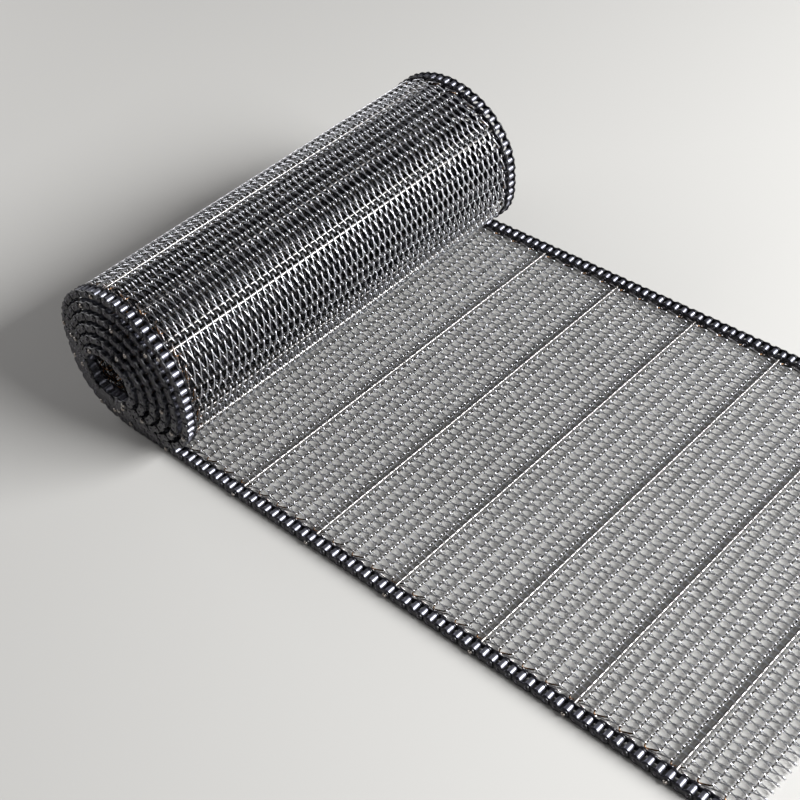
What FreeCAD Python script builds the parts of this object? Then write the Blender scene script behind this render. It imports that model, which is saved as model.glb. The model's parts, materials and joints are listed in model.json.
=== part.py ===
import FreeCAD, Part
import Sketcher
import math
import os

# Wire mesh conveyor belt carried by two roller chains, part of it wound in a roll
# X runs along the belt away from the roll, Y across it, Z up from the floor

SIZES = {
    # Roller chain
    "pitch": 12.7,
    "roller_diameter": 8.51,
    "inner_width": 10.5,
    "plate_thickness": 1.3,
    "inner_plate_height": 11.8,
    "outer_plate_height": 10.8,
    "plate_gap": 0.3,
    # Cross rods, each a chain pin that runs right across the belt
    "rod_diameter": 4.45,
    "bore_clearance": 0.06,
    "rod_overhang": 2.0,
    # Belt, counted in chain pitches
    "chain_spacing": 600.0,
    "pitches_per_rod": 10,
    "hinge_count": 6,
    "end_pitches": 7,
    "lead_pitches": 2,
    "belt_pitches": 300,
    # Mesh of flattened spirals, opened as a plain grid
    "mesh_thickness": 8.0,
    "spirals_per_panel": 8,
    "openings_along": 3,
    "openings_across": 8,
    "mesh_bar": 6.0,
    "eye_wall": 1.9,
    "end_bevel_depth": 2.7,
    "end_bevel_length": 2.4,
    "weave_gap": 0.8,
    "mesh_edge_gap": 0.8,
    "rod_slack": 0.4,
    # Roll
    "turn_in": 173.0,
    "core_half_length": 36.7,
    "core_half_height": 28.7,
    "wrap_spacing": 13.3,
    "wrap_shift": 4.7,
    "points_per_turn": 16,
    "bottom_squareness": 3.0,
    "ribbon_gap": 0.3,
}

OCTAGON = 8
HALF_OCTANT = 180 / OCTAGON
ROUND_SQUARENESS = 2
SOLVER_STEPS = 50
SIDES = ("right", "left")

doc = FreeCAD.newDocument("conveyor_belt")
sheet = doc.addObject("Spreadsheet::Sheet", "sizes")
for row, (alias, value) in enumerate(SIZES.items(), start=1):
    sheet.set("A%d" % row, alias)
    sheet.set("B%d" % row, str(value))
    sheet.setAlias("B%d" % row, alias)
doc.recompute()


def size(alias):
    return float(sheet.get(alias))


pitch = size("pitch")
panel_pitches = int(size("pitches_per_rod"))
hinge_count = int(size("hinge_count"))
lead_pitches = int(size("lead_pitches"))
flat_pitches = panel_pitches * (hinge_count - 1) + int(size("end_pitches"))
rod_pins = [panel_pitches * index for index in range(hinge_count)]
axis_height = size("inner_plate_height") / 2
inner_face = size("inner_width") / 2
outer_face = inner_face + size("plate_thickness") + size("plate_gap")
chain_half_width = outer_face + size("plate_thickness")
chain_across = {"right": 0.0, "left": size("chain_spacing")}
mesh_edge = chain_half_width + size("mesh_edge_gap")
spiral_width = panel_pitches * pitch / int(size("spirals_per_panel"))


# Middle line of the belt in the roll, seen from the side, with the flat run's chain line at height 0

def squared(value, squareness):
    return math.copysign(abs(value) ** (2 / squareness), value)


def roll_point(turns, total_turns):
    """Place on the middle line, so many turns after it starts to leave the floor."""
    angle = 2 * math.pi * turns
    build_up = size("wrap_spacing") * (total_turns - turns)
    half_length = size("core_half_length") + build_up
    half_height = size("core_half_height") + build_up
    outer_half_height = size("core_half_height") + size("wrap_spacing") * total_turns
    squareness = ROUND_SQUARENESS
    if math.cos(angle) > 0:
        squareness += (size("bottom_squareness") - ROUND_SQUARENESS) * half_height / outer_half_height
    along = -size("turn_in") - half_length * squared(math.sin(angle), squareness)
    up = outer_half_height - half_height * squared(math.cos(angle), squareness)
    return along, up, turns


def roll_line(total_turns):
    """Points of the middle line, from where it leaves the floor to the belt's inner end."""
    step = 1 / int(size("points_per_turn"))
    marks = [index * step for index in range(round(total_turns / step))]
    return [roll_point(turns, total_turns) for turns in marks + [total_turns]]


def line_length(line):
    return sum(math.hypot(b[0] - a[0], b[1] - a[1]) for a, b in zip(line, line[1:]))


def turns_for(wound_length):
    """Number of turns that takes up a length of belt round the core."""
    low = 0.0
    high = wound_length / (2 * math.pi * min(size("core_half_length"), size("core_half_height")))
    for _ in range(SOLVER_STEPS):
        middle = (low + high) / 2
        if line_length(roll_line(middle)) < wound_length:
            low = middle
        else:
            high = middle
    return high


chain_start = -lead_pitches * pitch - axis_height - size("ribbon_gap")
lead_spirals = lead_pitches // 2 + 1
first_spiral = spiral_width / 2 - lead_spirals * spiral_width
mesh_start = first_spiral - size("weave_gap") / 2
wound_length = (size("belt_pitches") - flat_pitches) * pitch - size("turn_in")
wound_line = roll_line(turns_for(wound_length))
chain_path = [(chain_start, 0.0, 0.0)] + wound_line
mesh_path = [(mesh_start, 0.0, 0.0)] + wound_line

# The origin is on the floor, under the middle of the whole belt
roll_reach = max(-along for along, up, turns in chain_path) + axis_height
flat_reach = flat_pitches * pitch + axis_height
shift_reach = chain_half_width + chain_path[-1][2] * size("wrap_shift")
rod_reach = chain_half_width + size("rod_overhang")
middle_along = (flat_reach - roll_reach) / 2
middle_across = (size("chain_spacing") + rod_reach - shift_reach) / 2


def place(along, across, up):
    """Row frame point, from a place counted from the first hinge pin of the right chain."""
    return FreeCAD.Vector(along - middle_along, across - middle_across, up + axis_height)


nodes = []


def keep(name, shapes):
    """Keep like pieces as one named node."""
    node = doc.addObject("Part::Feature", name)
    node.Shape = Part.makeCompound(shapes)
    nodes.append(node)


# Pattern pieces of the chain, each centred on its own middle

def plate(name, height):
    """A chain plate, its ends drawn as half octagons about the two pin centres."""
    body = doc.addObject("PartDesign::Body", name)
    sketch = body.newObject("Sketcher::SketchObject", name + "_outline")
    side_plane = [plane for plane in body.Origin.OriginFeatures if plane.Role == "XZ_Plane"][0]
    sketch.AttachmentSupport = (side_plane, "")
    sketch.MapMode = "FlatFace"
    half_height = size(height) / 2
    shoulder = half_height * math.tan(math.radians(HALF_OCTANT))
    tip_formula = "(sizes.pitch + sizes.%s) / 2" % height
    top_formula = "sizes.%s / 2" % height
    shoulder_formula = "%s * tan(%g)" % (top_formula, HALF_OCTANT)
    flank_formula = "sizes.pitch / 2 + %s" % shoulder_formula
    tip_corner = (pitch / 2 + half_height, tip_formula, shoulder, shoulder_formula)
    top_corner = (pitch / 2 + shoulder, flank_formula, half_height, top_formula)
    outline = []
    for x_sign, z_sign in ((1, 1), (-1, 1), (-1, -1), (1, -1)):
        pair = [tip_corner, top_corner] if x_sign * z_sign > 0 else [top_corner, tip_corner]
        outline += [(corner, x_sign, z_sign) for corner in pair]
    points = [FreeCAD.Vector(x_sign * corner[0], z_sign * corner[2], 0)
              for corner, x_sign, z_sign in outline]
    count = len(points)
    for index in range(count):
        sketch.addGeometry(Part.LineSegment(points[index], points[(index + 1) % count]), False)
    for index in range(count):
        sketch.addConstraint(Sketcher.Constraint("Coincident", index, 2, (index + 1) % count, 1))
    for index, (corner, x_sign, z_sign) in enumerate(outline):
        for kind, value, formula in (("DistanceX", x_sign * corner[0], "%d * (%s)" % (x_sign, corner[1])),
                                     ("DistanceY", z_sign * corner[2], "%d * (%s)" % (z_sign, corner[3]))):
            number = sketch.addConstraint(Sketcher.Constraint(kind, -1, 1, index, 1, value))
            sketch.setExpression("Constraints[%d]" % number, formula)
    pad = body.newObject("PartDesign::Pad", name + "_pad")
    pad.Profile = sketch
    pad.SideType = "Symmetric"
    pad.setExpression("Length", "sizes.plate_thickness")
    body.Tip = pad
    return body


def roller():
    """A roller with its bush and pin as one bar, as wide as the gap between the inner plates."""
    return eight_sided_bar("roller", "sizes.roller_diameter / 2", "sizes.inner_width")


def eight_sided_bar(name, flat_radius, length):
    """A bar along Y, centred, with flats above, below, before and behind."""
    bar = doc.addObject("Part::Prism", name)
    bar.Polygon = OCTAGON
    bar.setExpression("Circumradius", "(%s) / cos(%g)" % (flat_radius, HALF_OCTANT))
    bar.setExpression("Height", length)
    lie_down = FreeCAD.Rotation(FreeCAD.Vector(1, 0, 0), 90)
    flats_up = FreeCAD.Rotation(FreeCAD.Vector(0, 0, 1), HALF_OCTANT)
    bar.Placement = FreeCAD.Placement(FreeCAD.Vector(0, 0, 0), lie_down * flats_up)
    bar.setExpression("Placement.Base.y", "(%s) / 2" % length)
    return bar


def round_bar(name, radius, length):
    bar = doc.addObject("Part::Cylinder", name)
    bar.setExpression("Radius", radius)
    bar.setExpression("Height", length)
    lie_down = FreeCAD.Rotation(FreeCAD.Vector(1, 0, 0), 90)
    bar.Placement = FreeCAD.Placement(FreeCAD.Vector(0, 0, 0), lie_down)
    bar.setExpression("Placement.Base.y", "(%s) / 2" % length)
    return bar


def bored(source, name, make_bar, pin_offset):
    """A copy of a chain piece with the running bore for a cross rod."""
    tool = make_bar(name + "_bore", "sizes.rod_diameter / 2 + sizes.bore_clearance", "sizes.inner_width * 2")
    tool.setExpression("Placement.Base.x", pin_offset)
    cut = doc.addObject("Part::Cut", name)
    cut.Base = source
    cut.Tool = tool
    return cut


inner_plate = plate("inner_plate", "inner_plate_height")
outer_plate = plate("outer_plate", "outer_plate_height")
plain_roller = roller()
bored_roller = bored(plain_roller, "roller_on_rod", eight_sided_bar, "0")
open_roller = bored(plain_roller, "roller_at_open_end", round_bar, "0")
inner_plates = [inner_plate,
                bored(inner_plate, "inner_plate_on_rod", eight_sided_bar, "-sizes.pitch / 2"),
                bored(inner_plate, "inner_plate_at_open_end", round_bar, "-sizes.pitch / 2")]
outer_plates = [outer_plate,
                bored(outer_plate, "outer_plate_on_rod", eight_sided_bar, "-sizes.pitch / 2"),
                bored(outer_plate, "outer_plate_at_open_end", round_bar, "-sizes.pitch / 2")]
doc.recompute()


def copy_at(source, along, across, turned=False):
    shape = source.Shape.copy()
    if turned:
        shape.rotate(FreeCAD.Vector(0, 0, 0), FreeCAD.Vector(0, 0, 1), 180)
    shape.translate(place(along, across, 0))
    return shape


# Chain links of one stretch, from one pin to another

def link_plates(kinds, face, first_pin, last_pin, parity, across):
    """Pairs of plates for every other link, drilled for a cross rod or for the belt's joining pin."""
    plain, on_rod, at_open_end = kinds
    offset = face + size("plate_thickness") / 2
    shapes = []
    for pin in range(first_pin, last_pin):
        if pin % 2 != parity:
            continue
        next_pin = pin + 1
        source = plain
        if pin in rod_pins or next_pin in rod_pins:
            source = on_rod
        elif next_pin == flat_pitches:
            source = at_open_end
        for side in (-offset, offset):
            middle = pin * pitch + pitch / 2
            shapes.append(copy_at(source, middle, across + side, turned=pin not in rod_pins))
    return shapes


def rollers(first_pin, last_pin, across):
    special = {pin: bored_roller for pin in rod_pins}
    special[flat_pitches] = open_roller
    return [copy_at(special.get(pin, plain_roller), pin * pitch, across)
            for pin in range(first_pin, last_pin)]


def chain_stretch(number, first_pin, last_pin):
    """Both chains of one stretch. The roller on its last pin is the next stretch's."""
    roller_end = last_pin + 1 if last_pin == flat_pitches else last_pin
    for side in SIDES:
        across = chain_across[side]
        keep("%s_rollers_%d" % (side, number), rollers(first_pin, roller_end, across))
        inner = link_plates(inner_plates, inner_face, first_pin, last_pin, 0, across)
        keep("%s_inner_plates_%d" % (side, number), inner)
        outer = link_plates(outer_plates, outer_face, first_pin, last_pin, 1, across)
        keep("%s_outer_plates_%d" % (side, number), outer)


def cross_rod(number):
    """The long pin at the end of a stretch, through both chains and the mesh between them."""
    rod = doc.addObject("Part::Cylinder", "cross_rod_%d" % number)
    half_chain = "sizes.inner_width / 2 + 2 * sizes.plate_thickness + sizes.plate_gap"
    rod.setExpression("Radius", "sizes.rod_diameter / 2")
    rod.setExpression("Height", "sizes.chain_spacing + 2 * (%s + sizes.rod_overhang)" % half_chain)
    start = place(rod_pins[number] * pitch, -rod_reach, 0)
    rod.Placement = FreeCAD.Placement(start, FreeCAD.Rotation(FreeCAD.Vector(1, 0, 0), -90))
    nodes.append(rod)


# Mesh, as a mat with a plain grid of openings

def closed_loop(points):
    return Part.makePolygon(points + points[:1])


def openings(low, high, count, bar):
    """Ends of equal openings between two bars, with a bar after each opening but the last."""
    width = (high - low - (count - 1) * bar) / count
    return [(low + index * (width + bar), low + index * (width + bar) + width) for index in range(count)]


def mat_profile(low, high, rod_pin):
    """Side view of a mat, bevelled where it hinges, with the eye that a cross rod fills with its slack."""
    crest = size("mesh_thickness") / 2
    edge = crest - size("end_bevel_depth")
    bevel = size("end_bevel_length")
    top = [(low, edge), (low + bevel, crest), (high - bevel, crest), (high, edge)]
    loops = [top + [(along, -up) for along, up in reversed(top)]]
    if rod_pin is not None:
        radius = (size("rod_diameter") / 2 + size("rod_slack")) / math.cos(math.radians(HALF_OCTANT))
        angles = [math.radians(HALF_OCTANT * (2 * index + 1)) for index in range(OCTAGON)]
        loops.append([(rod_pin * pitch + radius * math.cos(angle), radius * math.sin(angle))
                      for angle in angles])
    wires = [closed_loop([place(along, mesh_edge, up) for along, up in loop]) for loop in loops]
    return Part.makeFace(wires, "Part::FaceMakerBullseye")


def mesh_mat(number, start, spiral_count, rod_pin):
    """One stretch of mesh. The spiral at its far end is threaded by the cross rod."""
    bar = size("mesh_bar")
    thickness = size("mesh_thickness")
    low = start + size("weave_gap") / 2
    high = start + spiral_count * spiral_width - size("weave_gap") / 2
    left_edge = size("chain_spacing") - mesh_edge
    last_bar = high - bar
    if rod_pin is not None:
        last_bar = rod_pin * pitch - size("rod_diameter") / 2 - size("rod_slack") - size("eye_wall")
    share = spiral_count / int(size("spirals_per_panel"))
    count_along = max(1, round(share * int(size("openings_along"))))
    count_across = int(size("openings_across"))
    boxes = []
    for first, last in openings(low + bar, last_bar, count_along, bar):
        for right, left in openings(mesh_edge + bar, left_edge - bar, count_across, bar):
            corner = place(first, right, -thickness / 2)
            boxes.append(Part.makeBox(last - first, left - right, thickness, corner))
    mat = mat_profile(low, high, rod_pin).extrude(FreeCAD.Vector(0, left_edge - mesh_edge, 0))
    keep("mesh_%d" % number, [mat.cut(Part.makeCompound(boxes))])


# Roll, as long ribbons that follow the middle line and creep sideways at every turn

def ribbon(name, path, thickness, low_across, high_across):
    """One ribbon with flat faces along the path. Its turns show as a spiral on its ends."""
    count = len(path)
    runs = [FreeCAD.Vector(b[0] - a[0], 0, b[1] - a[1]).normalize() for a, b in zip(path, path[1:])]
    corners = []
    for index, (along, up, turns) in enumerate(path):
        before = runs[max(index - 1, 0)]
        after = runs[min(index, count - 2)]
        bisector = (before + after).normalize()
        out = FreeCAD.Vector(bisector.z, 0, -bisector.x)
        reach = thickness / 2 / bisector.dot(after)
        sideways = -turns * size("wrap_shift")
        ring = []
        for lift, across in ((-1, low_across), (1, low_across), (1, high_across), (-1, high_across)):
            ring.append(place(along, across + sideways, up) + out * (lift * reach))
        corners.append(ring)
    faces = []
    for ring, after in zip(corners, corners[1:]):
        for first, second in ((1, 2), (3, 0)):
            faces.append((ring[first], ring[second], after[second], after[first]))
        for first, second in ((0, 1), (2, 3)):
            faces.append((ring[first], ring[second], after[second]))
            faces.append((ring[first], after[second], after[first]))
    faces += [tuple(corners[0]), tuple(corners[-1])]
    shell = Part.Shell([Part.Face(closed_loop(list(face))) for face in faces])
    keep(name, [Part.Solid(shell)])


# The roll and the first short stretch, up to the first hinge
for side in SIDES:
    middle = chain_across[side]
    ribbon(side + "_chain_roll", chain_path, size("inner_plate_height"),
           middle - chain_half_width, middle + chain_half_width)
ribbon("mesh_roll", mesh_path, size("mesh_thickness"), mesh_edge, size("chain_spacing") - mesh_edge)
chain_stretch(0, -lead_pitches, 0)
mesh_mat(0, first_spiral, lead_spirals, 0)
cross_rod(0)

# The flat stretches, each hinged to the one before
for number in range(1, hinge_count + 1):
    first_pin = rod_pins[number - 1]
    last_pin = min(first_pin + panel_pitches, flat_pitches)
    chain_stretch(number, first_pin, last_pin)
    ends_in_rod = number < hinge_count
    start = first_pin * pitch + spiral_width / 2
    if ends_in_rod:
        mesh_mat(number, start, int(size("spirals_per_panel")), last_pin)
        cross_rod(number)
    else:
        mesh_mat(number, start, int((last_pin * pitch - start) / spiral_width), None)

doc.recompute()
for thing in doc.Objects:
    if "Invalid" in thing.State or "Error" in thing.State:
        raise RuntimeError("object %s failed" % thing.Name)
for node in nodes:
    if node.Shape.isNull() or not node.Shape.isValid():
        raise RuntimeError("shape of %s is not valid" % node.Label)

os.makedirs("parts", exist_ok=True)
for node in nodes:
    node.Shape.exportStep("parts/%s.step" % node.Label)

solids = sum(len(node.Shape.Solids) for node in nodes)
print("nodes %d, solids %d" % (len(nodes), solids))
print("first hinge pin at %.4f, %.4f, %.4f" % tuple(place(0, 0, 0)))
print("roll of %.3f turns, %.2f high" % (wound_line[-1][2], max(up for along, up, turns in wound_line)))
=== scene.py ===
import json
import math

import bpy
import numpy as np
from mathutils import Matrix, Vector


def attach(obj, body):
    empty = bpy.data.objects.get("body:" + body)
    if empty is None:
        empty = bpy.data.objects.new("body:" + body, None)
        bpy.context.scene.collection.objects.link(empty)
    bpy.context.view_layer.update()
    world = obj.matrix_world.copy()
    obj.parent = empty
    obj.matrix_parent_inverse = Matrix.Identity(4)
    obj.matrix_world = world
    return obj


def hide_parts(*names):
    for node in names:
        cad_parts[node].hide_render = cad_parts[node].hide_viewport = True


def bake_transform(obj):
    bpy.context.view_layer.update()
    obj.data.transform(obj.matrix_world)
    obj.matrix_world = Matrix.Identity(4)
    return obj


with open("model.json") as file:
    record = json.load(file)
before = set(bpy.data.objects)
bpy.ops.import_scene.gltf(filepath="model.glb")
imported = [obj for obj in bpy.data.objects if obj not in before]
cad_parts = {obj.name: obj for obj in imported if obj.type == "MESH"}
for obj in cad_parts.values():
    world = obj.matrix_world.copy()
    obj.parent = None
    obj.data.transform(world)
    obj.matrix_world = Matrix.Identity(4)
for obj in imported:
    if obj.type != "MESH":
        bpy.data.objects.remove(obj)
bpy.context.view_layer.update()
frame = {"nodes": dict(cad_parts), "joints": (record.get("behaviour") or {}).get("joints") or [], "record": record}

# Wire mesh conveyor belt, part rolled and part flat. Metres, X along the belt, Y across it, Z up.
# u is the distance along the belt's middle line from the first hinge pin, negative into the roll.

# Places and sizes that come from the frame
hinge_points = [Vector(joint["pos_m"]) for joint in frame["joints"]]
mounts = {mount["name"]: Vector(mount["pos_m"]) for mount in frame["record"]["mounts"]}
FIRST_PIN_X = hinge_points[0].x
AXIS_HEIGHT = hinge_points[0].z
ROD_SPACING = hinge_points[1].x - hinge_points[0].x
PINS_PER_ROD = 10
PITCH = ROD_SPACING / PINS_PER_ROD
CHAIN_Y = {"right": mounts["right_end_bore"].y, "left": mounts["left_end_bore"].y}
END_PIN = round((mounts["right_end_bore"].x - FIRST_PIN_X) / PITCH)
BODIES = ["root"] + ["panel_%d" % number for number in range(1, len(hinge_points) + 1)]
BELT_PINS = 300
MIDDLE_Y = (CHAIN_Y["left"] + CHAIN_Y["right"]) / 2

# Roller chain
INNER_PLATE_HEIGHT = 0.0118
OUTER_PLATE_HEIGHT = 0.0108
PLATE_THICKNESS = 0.0013
INNER_WIDTH = 0.0105
PLATE_GAP = 0.0003
PLATE_WAIST = 0.74
PLATE_END_ANGLES = (0, 28, 56, 84, 112)
PLATE_CHAMFER = 0.0004
ROLLER_RADIUS = 0.0085 / 2
PIN_RADIUS = 0.00445 / 2
PIN_HEAD_REACH = 0.001
PIN_HEAD_TIP = 0.55
ROD_OVERHANG = 0.002
ROD_TIP_LENGTH = 0.0005
ROD_TIP = 0.9
BORE_RADIUS = 0.002285
ROLLER_SIDE_GAP = 0.0001
ROLLER_HALF_WIDTH = INNER_WIDTH / 2 - ROLLER_SIDE_GAP
INNER_PLATE_Y = INNER_WIDTH / 2 + PLATE_THICKNESS / 2
OUTER_PLATE_Y = INNER_PLATE_Y + PLATE_THICKNESS + PLATE_GAP
CHAIN_HALF_WIDTH = OUTER_PLATE_Y + PLATE_THICKNESS / 2

# A cross rod's upset end: places along the rod from the chain's side, and the radius at each
BEAD_PROFILE = [(-0.0001, 0.0025), (0.0006, 0.0030), (0.0014, 0.0029), (0.0021, 0.0019)]
BEAD_UNEVENNESS = 0.00025

# Degrees past which an edge between two faces stays sharp
CHAIN_SHARP_ANGLE = 40
HEAD_SHARP_ANGLE = 60

# Mesh of flattened spirals and thin connecting wires
SPIRALS_PER_ROD = 8
SPIRAL_SPACING = ROD_SPACING / SPIRALS_PER_ROD
SPIRAL_WIRE = 0.0016
CONNECTING_WIRE = 0.0018
BEND_RADIUS = 0.00325
TURN_SPACING = 0.0103
MESH_OFFSET = -0.0012
MESH_CLEARANCE = 0.0008
MESH_HALF_LENGTH = (CHAIN_Y["left"] - CHAIN_Y["right"]) / 2 - CHAIN_HALF_WIDTH - MESH_CLEARANCE
SPIRAL_END_GAP = 0.002
SPIRAL_HALF_LENGTH = MESH_HALF_LENGTH - SPIRAL_END_GAP
SPIRAL_TAIL = 0.3
COARSE_BEND = (40, -40)
BEND_REACH = (SPIRAL_SPACING + SPIRAL_WIRE + CONNECTING_WIRE) / 2
HOOK_ALONG = 0.014
HOOK_DEPTH = 0.008
SHORT_END_ALONG = 0.003
SHORT_END_DEPTH = 0.0035
# A wire end's bend, as shares of its length along the belt and of its depth
END_BEND = ((0, 0), (0.06, 0.2), (0.22, 0.42))

# Roll, the same middle line as the solids have
TURN_IN = 0.173
CORE_HALF_LENGTH = 0.0367
CORE_HALF_HEIGHT = 0.0287
WRAP_SPACING = 0.0133
WRAP_SHIFT = 0.0047
ROLL_TURNS = 6.156
BOTTOM_SQUARENESS = 3.0
LINE_SAMPLES = 20000

# Looks. A wire's tint reaches this far in from the belt's edges
TINT_REACH = 0.009
# Noise blotches to the metre, on wire and on chain steel
WIRE_BANDS = 90
WIRE_TINT = 260
WIRE_GLOSS = 400
STEEL_WEAR = 350
STEEL_GLOSS = 700
STEEL_GRAIN = 2500
NOISE_MIDDLE = (0.35, 0.65)

# Stage
FLOOR_HALF_LENGTH = 6.0
FLOOR_COLOR = (0.52, 0.505, 0.48)
ROOM_BEHIND_ROLL = (0.1, 0.1, 0.105)
ROOM_AHEAD = (0.06, 0.06, 0.065)
ROOM_CHANGE = (-0.8, 0.3)
LAMPS = {
    "window": {"place": (2.9, 1.8, 2.0), "tilt": 55, "size": (1.3, 4.0), "power": 470,
               "color": (0.96, 0.98, 1.0)},
    "wall": {"place": (-2.8, -1.0, 1.1), "tilt": -72, "size": (1.2, 2.4), "power": 45,
             "color": (0.97, 0.98, 1.0)},
}

# Camera, at the photograph's viewing angle
CAMERA_PLACE = (0.8796, -1.0089, 1.2907)
CAMERA_TURN = (47.7662, 5.0383, 42.9725)
CAMERA_LENS = 67.42


# Middle line of the belt

def squared(value, squareness):
    return np.copysign(np.abs(value) ** (2 / squareness), value)


def roll_line():
    """Samples of u, x, z and the number of turns, from the belt's inner end to where it meets the floor."""
    turns = np.linspace(ROLL_TURNS, 0, LINE_SAMPLES)
    angle = 2 * math.pi * turns
    build_up = WRAP_SPACING * (ROLL_TURNS - turns)
    half_length = CORE_HALF_LENGTH + build_up
    half_height = CORE_HALF_HEIGHT + build_up
    outer_half_height = CORE_HALF_HEIGHT + WRAP_SPACING * ROLL_TURNS
    lower = np.cos(angle) > 0
    squareness = np.where(lower, 2 + (BOTTOM_SQUARENESS - 2) * half_height / outer_half_height, 2)
    x = FIRST_PIN_X - TURN_IN - half_length * squared(np.sin(angle), squareness)
    z = AXIS_HEIGHT + outer_half_height - half_height * squared(np.cos(angle), squareness)
    steps = np.hypot(np.diff(x), np.diff(z))
    u = -TURN_IN - np.concatenate((np.cumsum(steps[::-1])[::-1], [0]))
    return u, x, z, turns


LINE_U, LINE_X, LINE_Z, LINE_TURNS = roll_line()


def belt_point(u):
    """x and z on the middle line, and the number of turns in the roll."""
    if u >= -TURN_IN:
        return FIRST_PIN_X + u, AXIS_HEIGHT, 0.0
    return tuple(float(np.interp(u, LINE_U, line)) for line in (LINE_X, LINE_Z, LINE_TURNS))


def belt_place(u, half_span):
    """Where a piece that spans from u - half_span to u + half_span sits: x, z, slope, sideways creep."""
    x, z, turns = belt_point(u)
    x_before, z_before, _ = belt_point(u - half_span)
    x_after, z_after, _ = belt_point(u + half_span)
    slope = math.atan2(z_after - z_before, x_after - x_before)
    return x, z, slope, -turns * WRAP_SHIFT


# Mesh building

class Template:
    """Points and faces of one piece that is stamped many times."""

    def __init__(self, points, faces):
        self.points = np.array(points, float).reshape(-1, 3)
        self.faces = [tuple(face) for face in faces]

    def moved(self, offset):
        return Template(self.points + np.array(offset), self.faces)

    def mirrored(self):
        """Mirror image across Y."""
        return Template(self.points * (1, -1, 1), [face[::-1] for face in self.faces])

    def joined(self, *others):
        points, faces = self.points, list(self.faces)
        for other in others:
            faces += [tuple(corner + len(points) for corner in face) for face in other.faces]
            points = np.vstack((points, other.points))
        return Template(points, faces)


def stamp(name, stamps, material, body, sharp_from=None):
    """One object from (template, (x, z, slope, y)) pairs, riding on a body unless it is None."""
    points, faces, count = [], [], 0
    for template, (x, z, slope, y) in stamps:
        local = template.points
        cosine, sine = math.cos(slope), math.sin(slope)
        turned = np.column_stack((x + local[:, 0] * cosine - local[:, 2] * sine,
                                  y + local[:, 1],
                                  z + local[:, 0] * sine + local[:, 2] * cosine))
        points.append(turned)
        faces += [tuple(corner + count for corner in face) for face in template.faces]
        count += len(local)
    mesh = bpy.data.meshes.new(name)
    mesh.from_pydata(np.vstack(points).tolist(), [], faces)
    mesh.polygons.foreach_set("use_smooth", [True] * len(mesh.polygons))
    if sharp_from is not None:
        mesh.set_sharp_from_angle(angle=math.radians(sharp_from))
    mesh.materials.append(material)
    thing = bpy.data.objects.new(name, mesh)
    bpy.context.scene.collection.objects.link(thing)
    if body is not None:
        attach(thing, body)
    return thing


def ring_faces(first, second, count):
    """Quads between two rings of points that start at these numbers."""
    return [(first + index, first + (index + 1) % count, second + (index + 1) % count, second + index)
            for index in range(count)]


def cap_faces(last, count):
    """The two end faces of a piece whose first ring starts at 0 and whose last ring starts there."""
    return [tuple(range(count - 1, -1, -1)), tuple(range(last, last + count))]


def lathe(profile, sides, through_bore=False):
    """A round piece about Y from (y, radius) pairs. With a bore, the pairs run on round it and close."""
    points, faces = [], []
    for y, radius in profile:
        for index in range(sides):
            angle = 2 * math.pi * (index + 0.5) / sides
            points.append((radius * math.cos(angle), y, -radius * math.sin(angle)))
    for ring in range(len(profile) - 1):
        faces += ring_faces(ring * sides, (ring + 1) * sides, sides)
    last = (len(profile) - 1) * sides
    faces += ring_faces(last, 0, sides) if through_bore else cap_faces(last, sides)
    return Template(points, faces)


def tube(path, outward, radius, sides):
    """A wire along a path. Outward gives, at each point, one direction square to the path."""
    path, outward = np.array(path, float), np.array(outward, float)
    run = np.gradient(path, axis=0)
    run /= np.linalg.norm(run, axis=1)[:, None]
    outward = outward - (outward * run).sum(axis=1)[:, None] * run
    outward /= np.linalg.norm(outward, axis=1)[:, None]
    side = np.cross(run, outward)
    angles = [2 * math.pi * (index + 0.5) / sides for index in range(sides)]
    rings = [path + radius * (math.cos(angle) * outward + math.sin(angle) * side) for angle in angles]
    points = np.stack(rings, axis=1).reshape(-1, 3)
    faces = []
    for ring in range(len(path) - 1):
        faces += ring_faces(ring * sides, (ring + 1) * sides, sides)
    return Template(points, faces + cap_faces((len(path) - 1) * sides, sides))


# Chain pieces

def plate_outline(height):
    """A link plate's outline seen from the side, round at both pins and waisted between them."""
    radius = height / 2
    quarter = [(PITCH / 2 + radius * math.cos(angle), radius * math.sin(angle))
               for angle in np.radians(PLATE_END_ANGLES)]
    top = quarter + [(0.0, radius * PLATE_WAIST)] + [(-x, z) for x, z in reversed(quarter)]
    bottom = [(x, -z) for x, z in reversed(top[1:-1])]
    return np.array([(x, -z) for x, z in top + bottom])


def plate_rings(outline, height):
    """The outline on the inner face, below the chamfer, and on the outer face."""
    half = PLATE_THICKNESS / 2
    inset = outline * (1 - PLATE_CHAMFER / (PITCH / 2 + height / 2), 1 - PLATE_CHAMFER / (height / 2))
    rings = ((-half, outline), (half - PLATE_CHAMFER, outline), (half, inset))
    return [[(x, y, z) for x, z in ring] for y, ring in rings]


def plate(height):
    """A link plate with its outer face, on the +Y side, chamfered."""
    outline = plate_outline(height)
    count = len(outline)
    points = sum(plate_rings(outline, height), [])
    faces = ring_faces(0, count, count) + ring_faces(count, 2 * count, count)
    return Template(points, faces + cap_faces(2 * count, count))


def bored_plate(height):
    """The same with an open bore at its +X pin."""
    outline = plate_outline(height)
    count = len(outline)
    around = outline - (PITCH / 2, 0)
    bore = around / np.linalg.norm(around, axis=1)[:, None] * BORE_RADIUS + (PITCH / 2, 0)
    rings = plate_rings(outline, height)
    rings += [[(x, y, z) for x, z in bore] for y in (PLATE_THICKNESS / 2, -PLATE_THICKNESS / 2)]
    faces = []
    for ring in range(len(rings)):
        faces += ring_faces(ring * count, (ring + 1) % len(rings) * count, count)
    return Template(sum(rings, []), faces)


def pair(template, offset=0.0):
    """A piece on both sides of the chain, its outer face outward."""
    outer = template.moved((0, offset, 0))
    return outer.joined(outer.mirrored())


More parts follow.
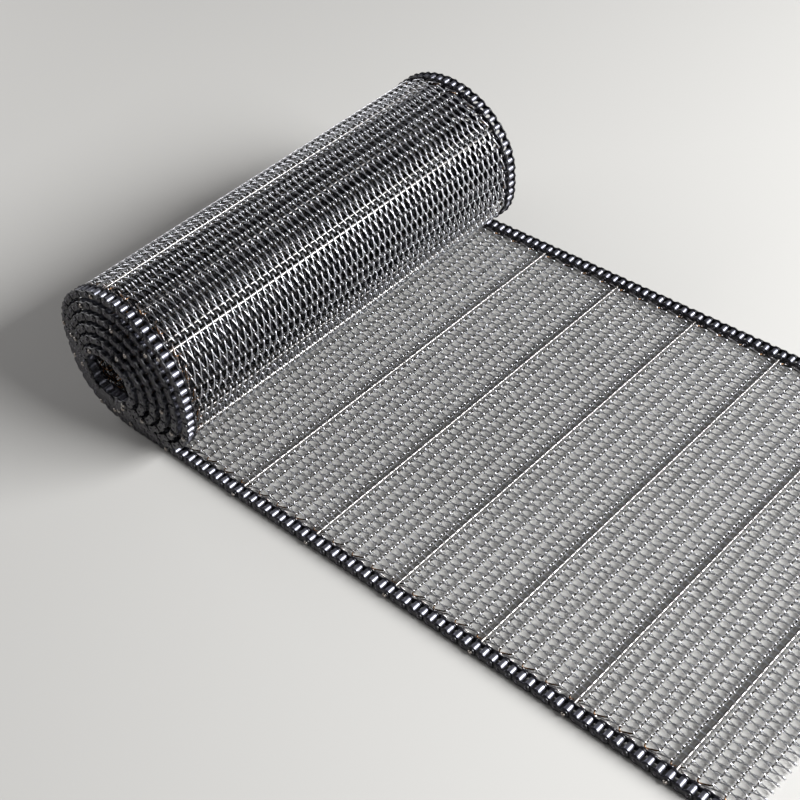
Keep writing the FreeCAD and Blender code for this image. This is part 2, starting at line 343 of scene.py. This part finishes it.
def bead():
    """The upset end of a cross rod, hammered a little out of round."""
    random = np.random.default_rng(7)
    template = lathe(BEAD_PROFILE, 9)
    template.points += random.uniform(-BEAD_UNEVENNESS, BEAD_UNEVENNESS, template.points.shape)
    return template.moved((0, CHAIN_HALF_WIDTH, 0))


inner_plates = pair(plate(INNER_PLATE_HEIGHT), INNER_PLATE_Y)
outer_plates = pair(plate(OUTER_PLATE_HEIGHT), OUTER_PLATE_Y)
end_plates = pair(bored_plate(INNER_PLATE_HEIGHT), INNER_PLATE_Y)
roller_profile = [(-ROLLER_HALF_WIDTH, ROLLER_RADIUS), (ROLLER_HALF_WIDTH, ROLLER_RADIUS)]
bore_profile = [(ROLLER_HALF_WIDTH, BORE_RADIUS), (-ROLLER_HALF_WIDTH, BORE_RADIUS)]
roller = lathe(roller_profile, 12)
end_roller = lathe(roller_profile + bore_profile, 16, through_bore=True)
pin_head = lathe([(CHAIN_HALF_WIDTH - PIN_HEAD_REACH / 4, PIN_RADIUS),
                  (CHAIN_HALF_WIDTH + PIN_HEAD_REACH * 0.4, PIN_RADIUS),
                  (CHAIN_HALF_WIDTH + PIN_HEAD_REACH, PIN_RADIUS * PIN_HEAD_TIP)], 8)
pin_heads = pair(pin_head)
rod_length = CHAIN_Y["left"] - CHAIN_Y["right"] + 2 * (CHAIN_HALF_WIDTH + ROD_OVERHANG)
rod = lathe([(-rod_length / 2, PIN_RADIUS * ROD_TIP), (-rod_length / 2 + ROD_TIP_LENGTH, PIN_RADIUS),
             (rod_length / 2 - ROD_TIP_LENGTH, PIN_RADIUS), (rod_length / 2, PIN_RADIUS * ROD_TIP)], 12)
beads = pair(bead().moved((0, (CHAIN_Y["left"] - CHAIN_Y["right"]) / 2, 0)))


# Mesh pieces, their middle at y 0

def spiral(bend_steps, leg_steps, sides):
    """A flattened spiral across the belt. It rises over its top leg towards +X and +Y."""
    turn_count = round(2 * SPIRAL_HALF_LENGTH / TURN_SPACING)
    half_leg = BEND_REACH - BEND_RADIUS
    if bend_steps == 1:
        bend = np.radians(COARSE_BEND)
    else:
        bend = np.radians(np.linspace(90, -90, bend_steps + 1))
    right = [(half_leg + BEND_RADIUS * math.cos(angle), BEND_RADIUS * math.sin(angle), angle)
             for angle in bend]
    left = [(-x, -z, angle - math.pi) for x, z, angle in right]
    loop = []
    for arc, following in ((right, left), (left, right)):
        loop += arc
        start, end = arc[-1], following[0]
        for step in range(1, leg_steps):
            share = step / leg_steps
            x = start[0] + (end[0] - start[0]) * share
            z = start[1] + (end[1] - start[1]) * share
            loop.append((x, z, start[2]))
    # The loop starts again at the middle of its left bend, so that the belt's middle is a right bend
    first = len(loop) // 2 + bend_steps // 2
    loop = loop[first:] + loop[:first]
    steps = [math.dist(loop[index][:2], loop[index - 1][:2]) for index in range(len(loop))]
    rise = np.cumsum([0.0] + steps[1:]) / sum(steps)
    path, outward = [], []
    for turn in range(turn_count):
        for (x, z, angle), share in zip(loop, rise):
            y = SPIRAL_HALF_LENGTH * (2 * (turn + share) / turn_count - 1)
            path.append((x, y, z))
            outward.append((math.cos(angle), 0, math.sin(angle)))
    path.append((loop[0][0], SPIRAL_HALF_LENGTH, loop[0][1]))
    outward.append(outward[0])
    tail = (-half_leg * SPIRAL_TAIL, MESH_HALF_LENGTH - SPIRAL_WIRE, 0.0)
    path = [(tail[0], -tail[1], tail[2])] + path + [tail]
    outward = [outward[0]] + outward + [outward[0]]
    return tube(path, outward, SPIRAL_WIRE / 2, sides)


def bent_end(along, depth):
    """Points of a wire's end beyond its straight part, bent over to this place along the belt."""
    tip = MESH_HALF_LENGTH - CONNECTING_WIRE
    straight_end = tip - depth
    bend = [(along * share, straight_end + depth * depth_share, 0) for share, depth_share in END_BEND]
    return bend + [(along, tip, 0)]


def connecting_wire(hooked_low):
    """A thin wire across the belt, one end bent over to the wire before and the other end bent short."""
    hook = bent_end(-HOOK_ALONG, HOOK_DEPTH)
    short_end = bent_end(SHORT_END_ALONG, SHORT_END_DEPTH)
    path = [(x, -y, z) for x, y, z in reversed(hook)] + short_end
    template = tube(path, [(0, 0, 1)] * len(path), CONNECTING_WIRE / 2, 5)
    return template if hooked_low else template.mirrored()


# Node materials

def make_material(name, base_color, metallic, roughness):
    material = bpy.data.materials.new(name)
    material.use_nodes = True
    shader = material.node_tree.nodes["Principled BSDF"]
    shader.inputs["Base Color"].default_value = (*base_color, 1)
    shader.inputs["Metallic"].default_value = metallic
    shader.inputs["Roughness"].default_value = roughness
    return material, shader


def add_node(material, kind, **values):
    """A shader node. Values set its inputs by name, or its own properties in small letters."""
    node = material.node_tree.nodes.new(kind)
    for name, value in values.items():
        label = name.replace("_", " ")
        if label in node.inputs:
            node.inputs[label].default_value = value
        else:
            setattr(node, name, value)
    return node


def link(material, output, socket):
    material.node_tree.links.new(output, socket)


def noise(material, scale, detail=3.0):
    """Noise over the object's own coordinates, with so many blotches to the metre."""
    place = add_node(material, "ShaderNodeTexCoord")
    texture = add_node(material, "ShaderNodeTexNoise", Scale=scale, Detail=detail)
    link(material, place.outputs["Object"], texture.inputs["Vector"])
    return texture.outputs["Fac"]


def ramp(material, source, stops):
    """Colours by the source's value."""
    node = add_node(material, "ShaderNodeValToRGB")
    link(material, source, node.inputs["Fac"])
    elements = node.color_ramp.elements
    while len(elements) < len(stops):
        elements.new(1.0)
    for element, (position, color) in zip(elements, stops):
        element.position = position
        element.color = (*color, 1)
    return node.outputs["Color"]


def ranged(material, source, low, high):
    """The source's middle values stretched to go from low to high."""
    node = add_node(material, "ShaderNodeMapRange")
    link(material, source, node.inputs["Value"])
    node.inputs["From Min"].default_value, node.inputs["From Max"].default_value = NOISE_MIDDLE
    node.inputs["To Min"].default_value = low
    node.inputs["To Max"].default_value = high
    return node.outputs["Result"]


def add_bump(material, shader, source, distance, strength):
    node = add_node(material, "ShaderNodeBump", Distance=distance, Strength=strength)
    link(material, source, node.inputs["Height"])
    link(material, node.outputs["Normal"], shader.inputs["Normal"])


def near_edges(material, reach):
    """1 at the belt's two edges, falling to 0 at this distance inside them."""
    place = add_node(material, "ShaderNodeTexCoord")
    split = add_node(material, "ShaderNodeSeparateXYZ")
    link(material, place.outputs["Object"], split.inputs["Vector"])
    offset = add_node(material, "ShaderNodeMath", operation="SUBTRACT")
    offset.inputs[1].default_value = MIDDLE_Y
    link(material, split.outputs["Y"], offset.inputs[0])
    distance = add_node(material, "ShaderNodeMath", operation="ABSOLUTE")
    link(material, offset.outputs["Value"], distance.inputs[0])
    node = add_node(material, "ShaderNodeMapRange")
    link(material, distance.outputs["Value"], node.inputs["Value"])
    node.inputs["From Min"].default_value = MESH_HALF_LENGTH - reach
    node.inputs["From Max"].default_value = MESH_HALF_LENGTH
    return node.outputs["Result"]


def mixed(material, factor, first, second):
    node = add_node(material, "ShaderNodeMix", data_type="RGBA")
    link(material, factor, node.inputs["Factor"])
    link(material, first, node.inputs["A"])
    link(material, second, node.inputs["B"])
    return node.outputs["Result"]


def wire_material(name, bright, tinted):
    """Drawn wire, dulled in places and heat tinted towards the belt's edges."""
    material, shader = make_material(name, bright, 1.0, 0.3)
    dull = tuple(value * 0.8 for value in bright)
    bands = ramp(material, noise(material, WIRE_BANDS), ((0.38, dull), (0.6, bright)))
    tint = ramp(material, noise(material, WIRE_TINT), ((0.4, tinted), (0.65, dull)))
    color = mixed(material, near_edges(material, TINT_REACH), bands, tint)
    link(material, color, shader.inputs["Base Color"])
    link(material, ranged(material, noise(material, WIRE_GLOSS), 0.28, 0.38), shader.inputs["Roughness"])
    return material


def oiled_steel(name, dark, light, metallic, rough_low, rough_high):
    """Blackened, oiled steel with lighter worn patches."""
    material, shader = make_material(name, dark, metallic, rough_low)
    color = ramp(material, noise(material, STEEL_WEAR), ((0.45, dark), (0.75, light)))
    link(material, color, shader.inputs["Base Color"])
    gloss = ranged(material, noise(material, STEEL_GLOSS), rough_low, rough_high)
    link(material, gloss, shader.inputs["Roughness"])
    add_bump(material, shader, noise(material, STEEL_GRAIN, 2.0), distance=0.0001, strength=0.15)
    return material


wire_steel = wire_material("mesh_wire", (0.82, 0.82, 0.85), (0.12, 0.07, 0.04))
# Painted shade: the wire of the roll's deeper wraps is the same steel, darkened to stand in for the shade inside
# the roll
painted_shade_wire_steel = wire_material("mesh_wire_inside", (0.07, 0.07, 0.075), (0.04, 0.025, 0.015))
# Painted shade: the connecting wires are the same drawn steel, darkened near to black to stand in for the shade
# the spiral bends cast on them
shaded_connecting_steel = wire_material("connecting_wire", (0.05, 0.045, 0.04), (0.42, 0.22, 0.1))
plate_steel = oiled_steel("chain_steel", (0.006, 0.006, 0.009), (0.03, 0.027, 0.032), 0.1, 0.26, 0.4)
roller_steel = oiled_steel("roller_steel", (0.24, 0.24, 0.28), (0.34, 0.34, 0.38), 1.0, 0.4, 0.5)
rod_steel = wire_material("cross_rod_steel", (0.42, 0.4, 0.38), (0.3, 0.26, 0.23))
head_steel = wire_material("pin_head_steel", (0.12, 0.12, 0.14), (0.1, 0.09, 0.1))

# The cross rods of the flat part are the frame's own
for name, node in frame["nodes"].items():
    if name.startswith("cross_rod"):
        node.data.materials.clear()
        node.data.materials.append(rod_steel)
        node.data.polygons.foreach_set("use_smooth", [True] * len(node.data.polygons))


# Chains

def body_of(u):
    """The body that carries the belt just after u."""
    return BODIES[min(max(0, math.floor(u / ROD_SPACING) + 1), len(BODIES) - 1)]


FIRST_PIN = END_PIN - BELT_PINS


def chain_stamps(chain_y):
    """For each body, the stamps of one chain's plates, rollers and pin heads."""
    pieces = {body: {"plates": [], "rollers": [], "heads": []} for body in BODIES}
    for pin in range(FIRST_PIN, END_PIN + 1):
        u = pin * PITCH
        x, z, slope, creep = belt_place(u, PITCH / 2)
        kinds = pieces[body_of(u + PITCH / 2)]
        at_pin = (x, z, slope, chain_y + creep)
        kinds["rollers"].append((end_roller if pin == END_PIN else roller, at_pin))
        if pin == END_PIN:
            continue
        x, z, slope, creep = belt_place(u + PITCH / 2, PITCH / 2)
        template = outer_plates if pin % 2 else inner_plates
        if pin == END_PIN - 1:
            template = end_plates
        kinds["plates"].append((template, (x, z, slope, chain_y + creep)))
        if pin % PINS_PER_ROD and pin > FIRST_PIN:
            kinds["heads"].append((pin_heads, at_pin))
    return pieces


def make_chain(side, chain_y):
    for number, (body, kinds) in enumerate(chain_stamps(chain_y).items()):
        plates = stamp("%s_plates_%s" % (side, body), kinds["plates"], plate_steel, body,
                       CHAIN_SHARP_ANGLE)
        rollers = stamp("%s_rollers_%s" % (side, body), kinds["rollers"], roller_steel, body,
                        CHAIN_SHARP_ANGLE)
        stamp("%s_pin_heads_%s" % (side, body), kinds["heads"], head_steel, body,
              HEAD_SHARP_ANGLE)
        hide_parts("%s_inner_plates_%d" % (side, number), "%s_outer_plates_%d" % (side, number))
        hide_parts("%s_rollers_%d" % (side, number))
    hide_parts("%s_chain_roll" % side)


for side, chain_y in CHAIN_Y.items():
    make_chain(side, chain_y)

# Cross rods in the roll, and the upset ends of all of them
rod_stamps = []
for pin in range(-PINS_PER_ROD, FIRST_PIN, -PINS_PER_ROD):
    x, z, slope, creep = belt_place(pin * PITCH, PITCH / 2)
    rod_stamps.append((rod, (x, z, slope, MIDDLE_Y + creep)))
stamp("cross_rods_roll", rod_stamps, rod_steel, "root", CHAIN_SHARP_ANGLE)
for number, body in enumerate(BODIES[:-1]):
    places = [(beads, (FIRST_PIN_X + number * ROD_SPACING, AXIS_HEIGHT, 0.0, MIDDLE_Y))]
    if body == "root":
        places += [(beads, place) for _, place in rod_stamps]
    stamp("rod_ends_%s" % body, places, rod_steel, body, HEAD_SHARP_ANGLE)


# Mesh, its spirals alternately right- and left-handed

def both_hands(*settings):
    template = spiral(*settings)
    return template, template.mirrored()


# Bend steps, leg steps and sides: fewer the deeper a spiral lies in the roll, more where a hinge bends it
fine = both_hands(4, 1, 4)
bending = both_hands(4, 3, 4)
medium = both_hands(2, 1, 3)
coarse = both_hands(1, 1, 3)
hook_low, hook_high = connecting_wire(True), connecting_wire(False)

FIRST_ROW = math.ceil(FIRST_PIN * PITCH / SPIRAL_SPACING) + 1
LAST_ROW = int(END_PIN * PITCH / SPIRAL_SPACING)
spiral_sets = {}
wire_sets = {}
hinge_spirals = []


def mesh_place(row):
    u = row * SPIRAL_SPACING + MESH_OFFSET
    x, z, slope, creep = belt_place(u, SPIRAL_SPACING / 2)
    return u, (x, z, slope, MIDDLE_Y + creep), -creep / WRAP_SHIFT


for row in range(FIRST_ROW, LAST_ROW + 1):
    u, place, turns = mesh_place(row)
    hand = (row + 1) % 2
    if row >= 0 and row % SPIRALS_PER_ROD == 0:
        hinge_spirals.append((bending[hand], place))
        continue
    template = fine if turns < 1 else medium if turns < 2 else coarse
    body = body_of(u)
    key = body if u > -TURN_IN else "wrap_%d" % (1 + int(turns) * 2 + round(turns % 1))
    spiral_sets.setdefault((body, key), []).append((template[hand], place))
for row in range(FIRST_ROW, LAST_ROW):
    u, place, _ = mesh_place(row + 0.5)
    template = hook_high if row % 2 else hook_low
    wire_sets.setdefault(body_of(u), []).append((template, place))

for (body, key), stamps in spiral_sets.items():
    # Wraps past the roll's first turn take the darkened copy of the wire, painted shade for the shade inside the
    # roll
    material = wire_steel if key in (body, "wrap_1", "wrap_2") else painted_shade_wire_steel
    spirals = stamp("spirals_%s" % key, stamps, material, body)
    if key == body:
        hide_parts("mesh_%d" % BODIES.index(body))
    elif key == "wrap_1":
        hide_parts("mesh_roll")
for body, stamps in wire_sets.items():
    # The connecting wires take the darkened steel, painted shade from the spiral bends
    stamp("connecting_wires_%s" % body, stamps, shaded_connecting_steel, body)
for number, (one_stamp, hinge) in enumerate(zip(hinge_spirals, hinge_points)):
    piece = stamp("hinge_spiral_%d" % (number + 1), [one_stamp], wire_steel, None)
    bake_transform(piece)


# Stage: a plain pale floor, soft light and the camera

def make_floor():
    mesh = bpy.data.meshes.new("floor")
    half = FLOOR_HALF_LENGTH
    corners = [(-half, -half, 0), (half, -half, 0), (half, half, 0), (-half, half, 0)]
    mesh.from_pydata(corners, [], [(0, 1, 2, 3)])
    floor = bpy.data.objects.new("floor", mesh)
    bpy.context.scene.collection.objects.link(floor)
    material, shader = make_material("floor_white", FLOOR_COLOR, 0.0, 0.9)
    shader.inputs["Specular IOR Level"].default_value = 0.0
    mesh.materials.append(material)


def strip_light(name, place, tilt, size, power, color):
    """A light panel long in Y, tilted about Y to face the belt. Its size is its height and its length."""
    data = bpy.data.lights.new(name, "AREA")
    data.shape = "RECTANGLE"
    data.size, data.size_y = size
    data.energy = power
    data.color = color
    light = bpy.data.objects.new(name, data)
    light.location = place
    light.rotation_euler = (0, math.radians(tilt), 0)
    bpy.context.scene.collection.objects.link(light)


def make_world():
    """White to the camera, and to the belt a dim room, a little less dim behind the roll."""
    world = bpy.data.worlds.new("studio")
    world.use_nodes = True
    bpy.context.scene.world = world
    nodes, links = world.node_tree.nodes, world.node_tree.links
    seen = nodes["Background"]
    seen.inputs["Color"].default_value = (1, 1, 1, 1)
    room = nodes.new("ShaderNodeBackground")
    place = nodes.new("ShaderNodeTexCoord")
    split = nodes.new("ShaderNodeSeparateXYZ")
    links.new(place.outputs["Generated"], split.inputs["Vector"])
    shade = nodes.new("ShaderNodeValToRGB")
    side = nodes.new("ShaderNodeMapRange")
    links.new(split.outputs["X"], side.inputs["Value"])
    side.inputs["From Min"].default_value, side.inputs["From Max"].default_value = ROOM_CHANGE
    links.new(side.outputs["Result"], shade.inputs["Fac"])
    shade.color_ramp.elements[0].color = (*ROOM_BEHIND_ROLL, 1)
    shade.color_ramp.elements[1].color = (*ROOM_AHEAD, 1)
    links.new(shade.outputs["Color"], room.inputs["Color"])
    ray = nodes.new("ShaderNodeLightPath")
    mix = nodes.new("ShaderNodeMixShader")
    links.new(ray.outputs["Is Camera Ray"], mix.inputs[0])
    links.new(room.outputs["Background"], mix.inputs[1])
    links.new(seen.outputs["Background"], mix.inputs[2])
    links.new(mix.outputs["Shader"], nodes["World Output"].inputs["Surface"])


def make_camera():
    data = bpy.data.cameras.new("camera")
    data.lens = CAMERA_LENS
    data.sensor_width = 36.0
    camera = bpy.data.objects.new("camera", data)
    camera.location = CAMERA_PLACE
    camera.rotation_euler = [math.radians(angle) for angle in CAMERA_TURN]
    bpy.context.scene.collection.objects.link(camera)
    bpy.context.scene.camera = camera


make_floor()
make_world()
for name, settings in LAMPS.items():
    strip_light(name, **settings)
make_camera()
bpy.context.scene.view_settings.view_transform = "Standard"
